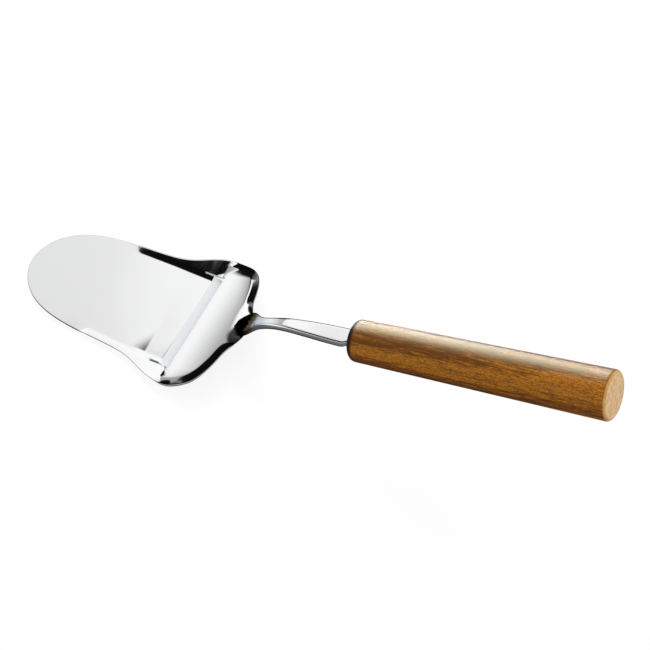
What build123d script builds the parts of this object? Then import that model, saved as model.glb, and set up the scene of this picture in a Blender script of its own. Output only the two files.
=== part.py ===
from build123d import *
import math
import os

import numpy as np

# Cheese slicer: a stamped sheet blade with a cutting slot, a bent flat shank welded to its rear edge, and a turned
# wooden handle glued on the shank's tang. Millimetres. X runs from the blade's tip to the butt, Y across the blade
# and Z up. The origin is in the underside of the flat front plate, under the middle of its flat area.

# Blade sheet, in plan
sheet = 1.0
blade_length = 99.4
blade_half_width = 32.9
tip_reach = 29.3

# Cutting slot and the tongue that carries the edge
edge_reach = 45.9
tongue_width = 47.2
slot_gap = 1.0
leg_gap = 0.6
leg_length = 8.0
bevel_width = 3.7
edge_land = 0.12
tongue_drop = 0.5
tongue_overlap = 0.5
tongue_step = 0.06
crease_setback = 11.9
dip_length = 30.5
dip_crease_length = 10.1
dip_half_width = 21.0
dip_blend = 3.2
crease_fade_start = 6.0
crease_fade_end = 31.0

# Heights of the sheet behind the slot
rise_start = 2.2
rise_round = 5.8
rise_run = 22.0
rise_height = 6.8
hump_start = 2.0
hump_run = 17.75
hump_height = 2.92
hump_flat_half_width = 24.6
hump_blend = 19.2
hump_power = 1.77

# Side rims that curl up, in bands that widen towards the slot and narrow behind it
rim_start = 42.5
rim_round = 1.0
rim_first_width = 4.25
rim_first_run = 6.0
rim_gain_width = 4.5
rim_gain_setback = 16.0
rim_gain_run = 13.4
rim_loss_width = 6.45
rim_loss_setback = 4.6
rim_loss_run = 14.6
rim_first_slope = 0.119
rim_gain_slope = 0.05
rim_slope_setback = 22.3
rim_slope_run = 18.9
rim_end = 11.1
rim_end_run = 2.7

# Border that rolls down round the rear
roll_setback = 1.5
roll_run = 7.1
roll_width = 3.35
roll_round = 0.4
roll_slope = 0.42
roll_middle = 6.0
roll_middle_run = 8.3

# How deep the shank's seat is ground into the sheet
seat_skim = 0.03

# Shank: leaf-shaped foot, a rise that eases into the run, and the tang
bar_thickness = 3.2
foot_width = 9.9
foot_inset = 5.5
tang_width = 5.0
tang_neck = 2.2
tang_length = 58.0

# Weld bead round the foot's toe
bead_radius = 0.7
bead_length = 11.0

# Handle and its glue line
handle_front_reach = 51.6
handle_front_height = 33.4
handle_tilt = 16.1
handle_length = 106.1
handle_front_diameter = 16.4
handle_butt_diameter = 19.1
front_round = 2.3
butt_round = 1.8
bore_diameter = 6.4
bore_bottom_gap = 2.0
glue_recess = 0.4

# How far a cutting shape runs past what it cuts, and how tall a shape stands that cuts an outline in plan
overrun = 5.0
plan_cut_height = 140.0

# Spacing of the sections that the curved sheet is lofted through, and of the outline's checked points
section_pitch = 2.0
border_pitch = 1.5

# Blade outline from the tip to the middle of the rear edge, as shares of blade_length and blade_half_width
outline_shares = [
    (0.000, 0.000),
    (0.010, 0.178),
    (0.041, 0.352),
    (0.100, 0.525),
    (0.178, 0.640),
    (0.275, 0.707),
    (0.392, 0.740),
    (0.509, 0.766),
    (0.587, 0.811),
    (0.665, 0.914),
    (0.724, 0.979),
    (0.778, 1.000),
    (0.834, 0.973),
    (0.891, 0.885),
    (0.929, 0.708),
    (0.946, 0.531),
    (0.957, 0.390),
    (0.974, 0.285),
    (0.992, 0.175),
    (1.000, 0.000),
]

# Middle line of the shank in side view, from below the foot's toe to the handle, as shares of handle_front_reach and
# of the height from the seat to the handle
bar_line_shares = [
    (-0.031, -0.035),
    (0.027, 0.057),
    (0.066, 0.120),
    (0.134, 0.245),
    (0.221, 0.383),
    (0.308, 0.505),
    (0.415, 0.624),
    (0.550, 0.727),
    (0.744, 0.847),
    (1.000, 1.000),
]

# Half width of the shank in plan, from the foot's toe to its neck, as shares of handle_front_reach and of half the
# foot's width
bar_width_shares = [
    (0.000, 0.000),
    (0.005, 0.230),
    (0.022, 0.500),
    (0.053, 0.780),
    (0.085, 0.950),
    (0.114, 1.000),
    (0.143, 0.900),
    (0.172, 0.700),
    (0.202, 0.500),
    (0.235, 0.410),
    (0.298, 0.390),
    (0.395, 0.470),
    (0.530, 0.580),
    (0.725, 0.710),
    (0.880, 0.770),
    (0.925, 0.780),
]

tip_x = -tip_reach
edge_x = edge_reach
lip_x = edge_x + slot_gap
leg_x = edge_x - leg_length
crease_x = edge_x - crease_setback
curl_x = edge_x - rim_start
rear_x = tip_x + blade_length
foot_x = rear_x - foot_inset
seat_slope = rise_height / rise_run
seat_height = sheet + seat_slope * (foot_x - edge_x + rise_start) + hump_height - seat_skim
handle_front = Vector(foot_x + handle_front_reach, 0, handle_front_height)
handle_axis = Vector(math.cos(math.radians(handle_tilt)), 0, math.sin(math.radians(handle_tilt)))


def ease(value, start, run):
    """Runs smoothly from 0 at start to 1 at start + run."""
    t = np.clip((value - start) / run, 0, 1)
    return t * t * (3 - 2 * t)


def outline_points():
    """Places of the blade outline's points, all the way round from the tip."""
    half = [(tip_x + a * blade_length, b * blade_half_width) for a, b in outline_shares]
    return half + [(x, -y) for x, y in reversed(half[1:-1])]


def outline_edge():
    """The blade outline as one closed curve in plan."""
    return Edge.make_spline([Vector(x, y, 0) for x, y in outline_points()], periodic=True)


def distance_inside(x, y, border):
    """Distance of each point inside the border, negative outside it."""
    side = np.roll(border, -1, axis=0) - border
    side_x = side[:, 0]
    side_y = side[:, 1]
    px = x[..., None] - border[:, 0]
    py = y[..., None] - border[:, 1]
    share_along = np.clip((px * side_x + py * side_y) / (side_x ** 2 + side_y ** 2), 0, 1)
    gap = np.hypot(px - share_along * side_x, py - share_along * side_y).min(axis=-1)
    spans = (py < 0) != (py - side_y < 0)
    crossings = np.sum(spans & ((px * side_y < py * side_x) == (side_y > 0)), axis=-1)
    return np.where(crossings % 2 == 1, gap, -gap)


def bent_up(inside, bend):
    """Distance into a band whose surface leaves its first line level and rounds into an even slope."""
    inside = np.clip(inside, 0, None)
    return np.where(inside < bend, inside ** 2 / (2 * bend), inside - bend / 2)


def plate_dip(x, y):
    """How far the sheet is pressed down where it runs into the tongue, with a crease that fades across its root."""
    creased = ease(-y, -crease_fade_start, crease_fade_start + crease_fade_end)
    soft = ease(x, crease_x - dip_length, dip_length)
    sharp = np.clip((x - crease_x + dip_crease_length) / dip_crease_length, 0, 1) ** 2
    along = (creased * sharp + (1 - creased) * soft) * (1 - ease(x, leg_x, lip_x - leg_x))
    return tongue_drop * along * (1 - ease(np.abs(y), dip_half_width, dip_blend))


def rear_rise(x):
    """Height of the sheet behind the slot: level in front, a rounded start, then an even slope."""
    run = x - edge_x + rise_start
    rounded = np.clip(run + rise_round, 0, None) ** 2 / (4 * rise_round)
    return rise_height / rise_run * np.where(run < rise_round, rounded, run)


def hump(x, side):
    """The pressed hump behind the slot, highest across the middle and gone at the rims."""
    t = np.clip(bent_up(x - lip_x + hump_start, hump_start) / hump_run, 0, 1)
    return hump_height * (1 - (1 - t) ** hump_power) * (1 - ease(side, hump_flat_half_width, hump_blend))


def rim_curl(x, gap):
    """The rims curl up towards the outline, in a band that widens and steepens towards the slot."""
    first = ease(x, curl_x, rim_first_run)
    width = rim_first_width * first
    width = width + rim_gain_width * ease(x, edge_x - rim_gain_setback, rim_gain_run)
    width = width - rim_loss_width * ease(x, edge_x - rim_loss_setback, rim_loss_run)
    slope = rim_first_slope * first + rim_gain_slope * ease(x, edge_x - rim_slope_setback, rim_slope_run)
    slope = slope * (1 - ease(x, edge_x + rim_end, rim_end_run))
    return slope * bent_up(width - gap, rim_round)


def border_roll(x, side, gap):
    """The border rolls down round the rear, steeper towards the rear edge, but not across the shank's seat."""
    slope = roll_slope * ease(x, edge_x - roll_setback, roll_run) * ease(side, roll_middle, roll_middle_run)
    return slope * bent_up(roll_width - gap, roll_round)


def sheet_top(x, y, border):
    """Height of the sheet's upper face over the underside of the flat front plate."""
    side = np.abs(y)
    gap = distance_inside(x, y, border)
    return sheet + rear_rise(x) + hump(x, side) - plate_dip(x, y) + rim_curl(x, gap) - border_roll(x, side, gap)


def sheet_faces(x, y):
    """Heights of the sheet's upper and lower faces, one sheet thickness apart square to the slope."""
    rim = outline_edge()
    count = int(rim.length / border_pitch)
    border = np.array([(p.X, p.Y) for p in (rim.position_at(i / count) for i in range(count))])
    step = section_pitch / 4
    top = sheet_top(x, y, border)
    slope_x = (sheet_top(x + step, y, border) - sheet_top(x - step, y, border)) / (2 * step)
    slope_y = (sheet_top(x, y + step, border) - sheet_top(x, y - step, border)) / (2 * step)
    return top, top - sheet * np.sqrt(1 + slope_x ** 2 + slope_y ** 2)


def sheet_section(x, ys, top, low):
    """A closed cut through the sheet across the blade, between its upper and lower faces."""
    upper = [Vector(x, y, z) for y, z in zip(ys, top)]
    lower = [Vector(x, y, z) for y, z in zip(ys, low)]
    return Wire([
        Edge.make_spline(upper, parameters=list(ys)),
        Edge.make_line(upper[-1], lower[-1]),
        Edge.make_spline(lower, parameters=list(ys)),
        Edge.make_line(lower[0], upper[0]),
    ])


def formed_sheet():
    """The sheet from where its rims start to curl, with its bends and hump, running past the outline."""
    marks = [curl_x, crease_x, leg_x, rear_x + overrun]
    runs = [np.linspace(a, b, 1 + math.ceil((b - a) / section_pitch)) for a, b in zip(marks, marks[1:])]
    stations = np.unique(np.concatenate(runs))
    count = math.ceil((blade_half_width + overrun) / section_pitch)
    ys = section_pitch * np.arange(-count, count + 1)
    x, y = np.meshgrid(stations, ys, indexing="ij")
    top, low = sheet_faces(x, y)
    sections = [sheet_section(x, ys, upper, lower) for x, upper, lower in zip(stations, top, low)]
    return Solid.make_loft(sections, ruled=True)


def block(x0, x1, half_width, z0, z1):
    """A box between two places along X and two heights, centred on the blade's middle line."""
    middle = Location(((x0 + x1) / 2, 0, (z0 + z1) / 2))
    return middle * Box(x1 - x0, 2 * half_width, z1 - z0)


def on_seat(shape):
    """A shape made on level ground at the origin, carried to the sloping seat under the foot's toe."""
    return Location((foot_x, 0, seat_height)) * Rotation(0, -math.degrees(math.atan(seat_slope)), 0) * shape


def make_tongue():
    """The cutting tongue: a level strip with its upper face ground down to the edge."""
    top = sheet - tongue_drop - tongue_step
    back = leg_x - tongue_overlap
    edge_top = top - sheet + edge_land
    bevel_x = edge_x - bevel_width
    side = Polyline(
        (back, 0, top - sheet),
        (edge_x, 0, top - sheet),
        (edge_x, 0, edge_top),
        (bevel_x, 0, top),
        (back, 0, top),
        close=True,
    )
    return extrude(make_face(side), amount=tongue_width / 2, dir=(0, 1, 0), both=True)


def make_blade():
    """The stamped sheet, cut to its outline, with the slot, the tongue and the shank's ground seat."""
    plan = extrude(Face(Wire([outline_edge()])), amount=plan_cut_height / 2, both=True)
    window = block(leg_x, lip_x, tongue_width / 2 + leg_gap, -plan_cut_height, plan_cut_height)
    over_seat = on_seat(block(-bead_radius, foot_inset + overrun, foot_width / 2 + bead_radius, 0, overrun))
    front = block(tip_x - overrun, curl_x, blade_half_width + overrun, 0, sheet)
    formed = formed_sheet() & plan - window - over_seat
    return (front & plan) + formed + make_tongue()


def bar_side_edge():
    """The shank's edge in plan as one curve, from the neck's far side round the foot's toe to its near side."""
    half = [(foot_x + a * handle_front_reach, b * foot_width / 2) for a, b in bar_width_shares]
    return Edge.make_spline([Vector(x, y, 0) for x, y in half[:0:-1]] + [Vector(x, -y, 0) for x, y in half])


def bar_plan():
    """The shank's outline in plan: foot, bar, neck and tang."""
    edge = bar_side_edge()
    half_tang = tang_width / 2
    end = handle_front.X + tang_length * handle_axis.X + bar_thickness
    tang_start = (edge @ 0).X + tang_neck
    tang = Polyline(
        edge @ 1,
        (tang_start, -half_tang),
        (end, -half_tang),
        (end, half_tang),
        (tang_start, half_tang),
        edge @ 0,
    )
    return make_face(Curve() + [edge] + tang.edges())


def make_shank():
    """The flat bar: its side view between two lines a thickness apart, cut to its outline in plan."""
    rise = handle_front_height - seat_height
    line = [Vector(foot_x + a * handle_front_reach, 0, seat_height + b * rise) for a, b in bar_line_shares]
    middle = Edge.make_spline(line, tangents=[(line[1] - line[0]).normalized(), handle_axis])
    count = 4 * len(line)
    upper = []
    lower = []
    for i in range(count + 1):
        place = middle.position_at(i / count)
        along = middle.tangent_at(i / count)
        square = Vector(-along.Z, 0, along.X) * (bar_thickness / 2)
        upper.append(place + square)
        lower.append(place - square)
    tang = handle_axis * tang_length
    top = Edge.make_spline(upper)
    bottom = Edge.make_spline(lower)
    side = Polyline(upper[-1], upper[-1] + tang, lower[-1] + tang, lower[-1])
    toe = Edge.make_line(lower[0], upper[0])
    profile = make_face(Curve() + [top, bottom, toe] + side.edges())
    bar = extrude(profile, amount=foot_width, dir=(0, 1, 0), both=True)
    bar = bar & extrude(bar_plan(), amount=plan_cut_height)
    return bar - on_seat(block(-overrun, foot_inset + overrun, foot_width, -plan_cut_height / 2, 0))


def make_bead(shank):
    """The weld bead: a round fillet along the edge of the foot's toe, sitting on the blade's seat."""
    edge = bar_side_edge()
    share = bead_length / edge.length / 2
    path = edge.trim(0.5 - share, 0.5 + share)
    section = Plane(origin=path @ 0, z_dir=path % 0, x_dir=(0, 0, 1)) * Circle(bead_radius)
    tube = sweep(section, path=path)
    tube = tube - block(foot_x - overrun, rear_x + overrun, foot_width, -overrun, 0)
    return on_seat(Location((-foot_x, 0, 0)) * tube) - shank


def handle_frame():
    """Plane at the handle's front end, with Z along the handle."""
    return Plane(origin=handle_front, x_dir=(0, 1, 0), z_dir=handle_axis)


def make_handle():
    """The turned handle with rounded ends and a blind bore."""
    front = handle_front_diameter / 2
    butt = handle_butt_diameter / 2
    bore_depth = tang_length + bore_bottom_gap
    body = loft([Circle(front), Location((0, 0, handle_length)) * Circle(butt)])
    ends = body.edges().filter_by(GeomType.CIRCLE).sort_by(Axis.Z)
    body = fillet(ends[0], front_round)
    ends = body.edges().filter_by(GeomType.CIRCLE).sort_by(Axis.Z)
    body = fillet(ends[-1], butt_round)
    bore = extrude(Circle(bore_diameter / 2), amount=bore_depth)
    return handle_frame() * (body - bore)


def make_glue(shank):
    """The glue that fills the bore round the tang, just below the handle's front face."""
    depth = tang_length + bore_bottom_gap
    plug = Location((0, 0, glue_recess)) * extrude(Circle(bore_diameter / 2), amount=depth - glue_recess)
    return handle_frame() * plug - shank


def main():
    os.makedirs("parts", exist_ok=True)
    shank = make_shank()
    nodes = {
        "blade": make_blade(),
        "shank": shank,
        "foot_weld": make_bead(shank),
        "handle": make_handle(),
        "tang_glue": make_glue(shank),
    }
    for name, shape in nodes.items():
        export_step(shape, "parts/" + name + ".step")


main()
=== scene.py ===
"""Cheese slicer: a polished sheet blade with a raised slot, a bent flat shank and a turned wooden handle.

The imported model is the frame. The blade, shank, weld bead and handle are surfaces worked out with numpy from the
same sizes as the solids that they stand for, and the glue line keeps its solid. Sizes are in millimetres, and a mesh
is made in metres in the frame's own place.
"""

import logging
import math
from dataclasses import dataclass, field
from enum import Enum

import bmesh
import bpy
import numpy as np
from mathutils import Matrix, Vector


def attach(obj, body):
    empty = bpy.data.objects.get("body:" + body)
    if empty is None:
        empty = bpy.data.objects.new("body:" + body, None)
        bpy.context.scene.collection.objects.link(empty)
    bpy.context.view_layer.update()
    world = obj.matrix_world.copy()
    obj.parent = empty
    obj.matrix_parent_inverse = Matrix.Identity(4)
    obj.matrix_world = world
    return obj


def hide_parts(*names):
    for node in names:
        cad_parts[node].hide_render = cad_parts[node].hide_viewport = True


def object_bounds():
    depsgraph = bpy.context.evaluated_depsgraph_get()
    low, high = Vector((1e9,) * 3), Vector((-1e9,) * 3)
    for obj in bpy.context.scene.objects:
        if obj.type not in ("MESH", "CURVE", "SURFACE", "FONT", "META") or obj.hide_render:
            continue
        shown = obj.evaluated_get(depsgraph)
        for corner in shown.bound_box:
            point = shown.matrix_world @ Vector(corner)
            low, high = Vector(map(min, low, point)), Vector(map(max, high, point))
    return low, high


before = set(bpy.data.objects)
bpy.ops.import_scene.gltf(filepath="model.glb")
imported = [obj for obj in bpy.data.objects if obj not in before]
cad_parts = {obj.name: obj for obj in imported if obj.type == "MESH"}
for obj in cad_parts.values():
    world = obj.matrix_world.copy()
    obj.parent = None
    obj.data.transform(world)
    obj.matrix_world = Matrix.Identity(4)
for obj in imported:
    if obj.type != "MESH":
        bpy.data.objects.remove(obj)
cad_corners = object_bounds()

MM = 0.001
MERGE_DISTANCE = 0.001 * MM
SMOOTH_ANGLE = math.radians(32)
BODY = "root"
WHITE = (1, 1, 1, 1)

Pair = tuple[float, float]
Triple = tuple[float, float, float]
Tone = tuple[float, float, float, float]
Grain = tuple[Triple, float, float]
Array = np.ndarray
Socket = bpy.types.NodeSocket
Piece = bpy.types.Object

log = logging.getLogger("cheese_slicer")


def ease(value: Array, start: float, run: float) -> Array:
    """Runs smoothly from 0 to 1.

    Args:
        value: Where to read the ramp.
        start: Value at which the ramp leaves 0.
        run: Length of the ramp.

    Returns:
        t * t * (3 - 2 t), with t the share of the run that has gone by.
    """
    t = np.clip((value - start) / run, 0, 1)
    return t * t * (3 - 2 * t)


def bent_up(inside: Array, bend: float) -> Array:
    """Height over a band per unit of its slope: level at the band's first line, rounded, then an even slope.

    Args:
        inside: Distance into the band, negative outside it.
        bend: Length of the rounded start.

    Returns:
        inside squared over twice the bend in the rounded start, and inside less half the bend past it.
    """
    inside = np.clip(inside, 0, None)
    return np.where(inside < bend, inside ** 2 / (2 * bend), inside - bend / 2)


def unit(vectors: Array) -> Array:
    """Vectors of (count, 2), each brought to length 1."""
    return vectors / np.linalg.norm(vectors, axis=1)[:, None]


def right_of(along: Array) -> Array:
    """Directions of (count, 2), each turned a quarter to the right."""
    return np.stack([along[:, 1], -along[:, 0]], axis=1)


def run_along(points: Array) -> Array:
    """Distance of each point of a line from its first point, measured along the line."""
    return np.concatenate([[0], np.cumsum(np.linalg.norm(np.diff(points, axis=0), axis=1))])


def points_at(places: Array, run: Array, points: Array) -> Array:
    """Points of a line of (count, 2) at some distances along it."""
    return np.stack([np.interp(places, run, points[:, k]) for k in (0, 1)], axis=1)


def grid_faces(rows: int, columns: int, first: int = 0) -> Array:
    """Four-sided faces between the points of a grid.

    Args:
        rows: Points along the first parameter.
        columns: Points along the second parameter.
        first: Index of the grid's first point.

    Returns:
        Faces of ((rows - 1) * (columns - 1), 4) point indices, row by row.
    """
    index = first + np.arange(rows * columns).reshape(rows, columns)
    return np.stack([index[:-1, :-1], index[1:, :-1], index[1:, 1:], index[:-1, 1:]], axis=-1).reshape(-1, 4)


def cubics(start: Array, end: Array, leave: Array, arrive: Array, steps: int) -> Array:
    """Samples one cubic between each start and end, from the start on and without the end.

    Args:
        start: First points of (count, 2).
        end: Last points of (count, 2).
        leave: Slopes at the first points, over the straight distance.
        arrive: Slopes at the last points, over the straight distance.
        steps: Samples of each cubic.

    Returns:
        Samples of (count * steps, 2).
    """
    t = np.arange(steps)[None, :, None] / steps
    reach = np.linalg.norm(end - start, axis=1)[:, None, None]
    first = start[:, None] * (2 * t ** 3 - 3 * t ** 2 + 1) + leave[:, None] * reach * (t ** 3 - 2 * t ** 2 + t)
    last = end[:, None] * (3 * t ** 2 - 2 * t ** 3) + arrive[:, None] * reach * (t ** 3 - t ** 2)
    return (first + last).reshape(-1, 2)


def closed_curve(points: Array, steps: int) -> Array:
    """Smooth closed curve through points, the same one that the outline of the solid follows.

    Its cubics keep their bend continuous all the way round, over a parameter that grows with the straight distance
    between points.

    Args:
        points: Places of (count, 2).
        steps: Samples between two points.

    Returns:
        Samples of (count * steps, 2), from the first point on.
    """
    ahead = np.roll(points, -1, axis=0)
    span = np.linalg.norm(ahead - points, axis=1)
    back = np.roll(span, 1)
    slope = (ahead - points) / span[:, None]
    ones = np.eye(len(points))
    system = np.diag(2 * (back + span))
    system = system + span[:, None] * np.roll(ones, -1, axis=1) + back[:, None] * np.roll(ones, 1, axis=1)
    target = 3 * (back[:, None] * slope + span[:, None] * np.roll(slope, 1, axis=0))
    tangent = np.linalg.solve(system, target)
    return cubics(points, ahead, tangent, np.roll(tangent, -1, axis=0), steps)


def open_curve(points: Array, first: Array, last: Array, steps: int) -> Array:
    """Smooth open curve through points, the same one that a bent line of the solid follows.

    Its cubics keep their bend continuous, over the same kind of parameter, and leave the two ends in given directions.

    Args:
        points: Places of (count, 2).
        first: Direction at the first point.
        last: Direction at the last point.
        steps: Samples between two points.

    Returns:
        Samples of ((count - 1) * steps + 1, 2), from the first point to the last.
    """
    count = len(points)
    span = np.linalg.norm(np.diff(points, axis=0), axis=1)
    slope = np.diff(points, axis=0) / span[:, None]
    system = np.eye(count)
    middle = np.arange(1, count - 1)
    system[middle, middle] = 2 * (span[:-1] + span[1:])
    system[middle, middle - 1] = span[1:]
    system[middle, middle + 1] = span[:-1]
    target = np.zeros((count, 2))
    target[[0, -1]] = unit(np.array([first, last]))
    target[middle] = 3 * (span[:-1, None] * slope[1:] + span[1:, None] * slope[:-1])
    tangent = np.linalg.solve(system, target)
    return np.concatenate([cubics(points[:-1], points[1:], tangent[:-1], tangent[1:], steps), points[-1:]])


def add_object(name: str, data: bpy.types.ID) -> Piece:
    """New object of some data, linked to the scene."""
    thing = bpy.data.objects.new(name, data)
    bpy.context.scene.collection.objects.link(thing)
    return thing


def make_piece(name: str, places: Array, faces: Array, slots: Array | None = None) -> Piece:
    """Closed smooth object from points and faces, with doubled points merged and faces turned outwards.

    Args:
        name: Name of the object.
        places: Points of (count, 3) in millimetres.
        faces: Faces of (count, 4) point indices.
        slots: Material slot of each face, or None for the first slot all over.

    Returns:
        The object, linked to the scene.
    """
    mesh = bpy.data.meshes.new(name)
    mesh.from_pydata((places * MM).tolist(), [], faces.tolist())
    if slots is not None:
        mesh.polygons.foreach_set("material_index", slots.astype(np.int32))
    work = bmesh.new()
    work.from_mesh(mesh)
    bmesh.ops.remove_doubles(work, verts=work.verts, dist=MERGE_DISTANCE)
    bmesh.ops.dissolve_degenerate(work, edges=work.edges, dist=MERGE_DISTANCE)
    bmesh.ops.recalc_face_normals(work, faces=work.faces)
    work.to_mesh(mesh)
    work.free()
    mesh.shade_smooth()
    mesh.set_sharp_from_angle(angle=SMOOTH_ANGLE)
    return add_object(name, mesh)


def make_skin(name: str, grid: Array) -> Piece:
    """Object from one grid of points of (rows, columns, 3) that closes on itself."""
    return make_piece(name, grid.reshape(-1, 3), grid_faces(*grid.shape[:2]))


def make_bar(name: str, rings: Array) -> Piece:
    """Object from rings of points, with both ends closed on their middle.

    Args:
        name: Name of the object.
        rings: Points of (rings, points round, 3) in millimetres, where each ring ends on its first point.

    Returns:
        The object, linked to the scene.
    """
    middle = np.repeat(rings[[0, -1]].mean(axis=1, keepdims=True), rings.shape[1], axis=1)
    return make_skin(name, np.concatenate([middle[:1], rings, middle[1:]]))


class Slot(Enum):
    """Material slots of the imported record."""

    BLADE = "polished_steel"
    SHANK = "shank_steel"
    WELD = "weld_steel"
    WOOD = "beech"


class NodeBench:
    """Small helper that adds and joins shader nodes of one material or world."""

    def __init__(self, tree: bpy.types.NodeTree) -> None:
        """Clears the tree and keeps it."""
        self.tree = tree
        tree.nodes.clear()

    def add(self, kind: str, values: dict | None = None, **settings: object) -> bpy.types.Node:
        """Adds a node.

        Args:
            kind: Node type, such as ShaderNodeTexNoise.
            values: Input sockets' names or numbers and their values, where a socket of another node is joined.
            **settings: Properties of the node itself.

        Returns:
            The node.
        """
        node = self.tree.nodes.new(kind)
        for name, value in settings.items():
            setattr(node, name, value)
        for name, value in (values or {}).items():
            if isinstance(value, Socket):
                self.tree.links.new(value, node.inputs[name])
            else:
                node.inputs[name].default_value = value
        return node

    def math(self, operation: str, first: object, second: object = 0.0) -> Socket:
        """Result of a Math node on two numbers or sockets."""
        return self.add("ShaderNodeMath", {0: first, 1: second}, operation=operation).outputs[0]

    def product(self, first: object, *others: object) -> Socket:
        """Product of numbers or sockets."""
        for other in others:
            first = self.math("MULTIPLY", first, other)
        return first

    def around(self, noise: Socket, span: float) -> Socket:
        """A noise brought to run evenly about 0, over a span."""
        return self.product(self.math("SUBTRACT", noise, 0.5), span)

    def ramp(self, value: Socket, low: float, high: float, to_low: float = 0.0, to_high: float = 1.0) -> Socket:
        """Smooth step of a value between two limits, given out between two others."""
        values = {"Value": value, "From Min": low, "From Max": high, "To Min": to_low, "To Max": to_high}
        return self.add("ShaderNodeMapRange", values, interpolation_type="SMOOTHSTEP").outputs["Result"]

    def blend(self, share: object, first: object, second: object) -> Socket:
        """Colour between two colours or sockets, by a share."""
        return self.add("ShaderNodeMix", {0: share, 6: first, 7: second}, data_type="RGBA").outputs[2]

    def fade(self, value: Socket, limits: Pair, first: object, second: object) -> Socket:
        """Colour that goes from one to another while a value passes its two limits."""
        return self.blend(self.ramp(value, *limits), first, second)

    def place(self, stretch: Triple = (1, 1, 1), turn: Triple = (0, 0, 0)) -> Socket:
        """Object coordinates in metres, stretched and then turned."""
        place = self.add("ShaderNodeTexCoord").outputs["Object"]
        return self.add("ShaderNodeMapping", {"Vector": place, "Rotation": turn, "Scale": stretch}).outputs["Vector"]

    def parts(self, place: Socket) -> tuple[Socket, Socket, Socket]:
        """The three coordinates of a place."""
        return tuple(self.add("ShaderNodeSeparateXYZ", {0: place}).outputs)

    def noise(self, place: Socket, scale: float = 1.0, detail: float = 2.0, roughness: float = 0.5) -> Socket:
        """Noise between 0 and 1."""
        values = {"Vector": place, "Scale": scale, "Detail": detail, "Roughness": roughness}
        return self.add("ShaderNodeTexNoise", values).outputs["Fac"]

    def emit(self, strength: object) -> Socket:
        """White light of some strength."""
        return self.add("ShaderNodeEmission", {"Color": WHITE, "Strength": strength}).outputs[0]

    def finish(self, tone: object, rough: Socket, height: Socket, strength: float, depth: float,
               **more: object) -> None:
        """Adds the surface shader with its bump, and joins it to the output.

        Args:
            tone: Base colour.
            rough: Roughness.
            height: Height that the bump follows.
            strength: Strength of the bump.
            depth: Height in millimetres that 1 stands for.
            **more: Other inputs of the shader, with _ for a space.
        """
        bump = self.add("ShaderNodeBump", {"Strength": strength, "Distance": depth * MM, "Height": height})
        values = {"Base Color": tone, "Roughness": rough, "Normal": bump.outputs["Normal"]}
        values.update({name.replace("_", " "): value for name, value in more.items()})
        shader = self.add("ShaderNodeBsdfPrincipled", values)
        self.add("ShaderNodeOutputMaterial", {"Surface": shader.outputs["BSDF"]})


def new_material(name: str) -> tuple[bpy.types.Material, NodeBench]:
    """Empty material and the bench of its nodes."""
    material = bpy.data.materials.new(name)
    material.use_nodes = True
    return material, NodeBench(material.node_tree)


@dataclass(frozen=True)
class Finish:
    """One finish of the object. Stretches are noise cells per metre, and other lengths are millimetres."""

    name: str

    def make(self) -> bpy.types.Material:
        """Builds the finish's material."""
        material, bench = new_material(self.name)
        self.paint(bench)
        return material

    def paint(self, bench: NodeBench) -> None:
        """Adds the finish's nodes."""
        raise NotImplementedError


@dataclass(frozen=True)
class GrainedFinish(Finish):
    """Finish whose tone, roughness and relief all follow one noise, such as ground metal, weld metal or resin."""

    tones: tuple[Tone, Tone]
    tone_limits: Pair
    rough: Pair
    rough_limits: Pair
    stretch: Triple
    detail: float
    fineness: float
    strength: float
    depth: float
    metal: float

    def paint(self, bench: NodeBench) -> None:
        """Adds the noise and what follows it."""
        grain = bench.noise(bench.place(self.stretch), 1.0, self.detail, self.fineness)
        rough = bench.ramp(grain, *self.rough_limits, *self.rough)
        tone = bench.fade(grain, self.tone_limits, *self.tones)
        bench.finish(tone, rough, grain, self.strength, self.depth, Metallic=self.metal)


@dataclass(frozen=True)
class BuffedSteel(Finish):
    """Steel that is a near mirror, with fine polishing marks."""

    clean: Tone
    mark_stretch: Triple
    mark_turn: float
    mark_strength: float
    mark_depth: float = 0.02
    mark_detail: float = 3.0

    def buff(self, bench: NodeBench, tone: Socket, rough: Socket, **more: object) -> None:
        """Adds the polishing marks over a tone and a roughness."""
        place = bench.place(self.mark_stretch, (0, 0, math.radians(self.mark_turn)))
        marks = bench.noise(place, detail=self.mark_detail)
        rough = bench.product(bench.math("ADD", marks, 0.5), rough)
        bench.finish(tone, rough, marks, self.mark_strength, self.mark_depth, Metallic=1.0, **more)


@dataclass(frozen=True)
class SheetSteel(BuffedSteel):
    """Polished stainless sheet, with clouds of a little more or less gloss, darkened beside the shank's foot, partly
    by heat tint and partly by painted shade.
    """

    cloud_scale: float = 90.0
    cloud_share: float = 0.5
    rough_limits: Pair = (0.3, 0.7)
    rough: Pair = (0.056, 0.0875)
    # Dark tone round the foot's toe: partly heat tint, partly painted shade along the weld bead's outline.
    heat_tint_and_shade_tone: Tone = (0.06, 0.056, 0.05, 1)
    tint_and_shade_centre: Pair = (68.5, -4.0)
    tint_and_shade_reach: Pair = (4.8, 5.6)
    tint_and_shade_fade: Pair = (0.7, 1.5)

    def paint(self, bench: NodeBench) -> None:
        """Adds the clouds and the dark tone beside the foot, partly heat tint and partly painted shade, then the
        marks.
        """
        cloud = bench.noise(bench.place(), self.cloud_scale)
        far = bench.around(cloud, self.cloud_share)
        for at, centre, reach in zip(bench.parts(bench.place()), self.tint_and_shade_centre, self.tint_and_shade_reach):
            off = bench.math("DIVIDE", bench.math("SUBTRACT", at, centre * MM), reach * MM)
            far = bench.math("ADD", far, bench.product(off, off))
        # Painted shade in part: the sheet turns dark round the foot, blended with heat tint.
        tone = bench.fade(far, self.tint_and_shade_fade, self.heat_tint_and_shade_tone, self.clean)
        self.buff(bench, tone, bench.ramp(cloud, *self.rough_limits, *self.rough))


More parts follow.
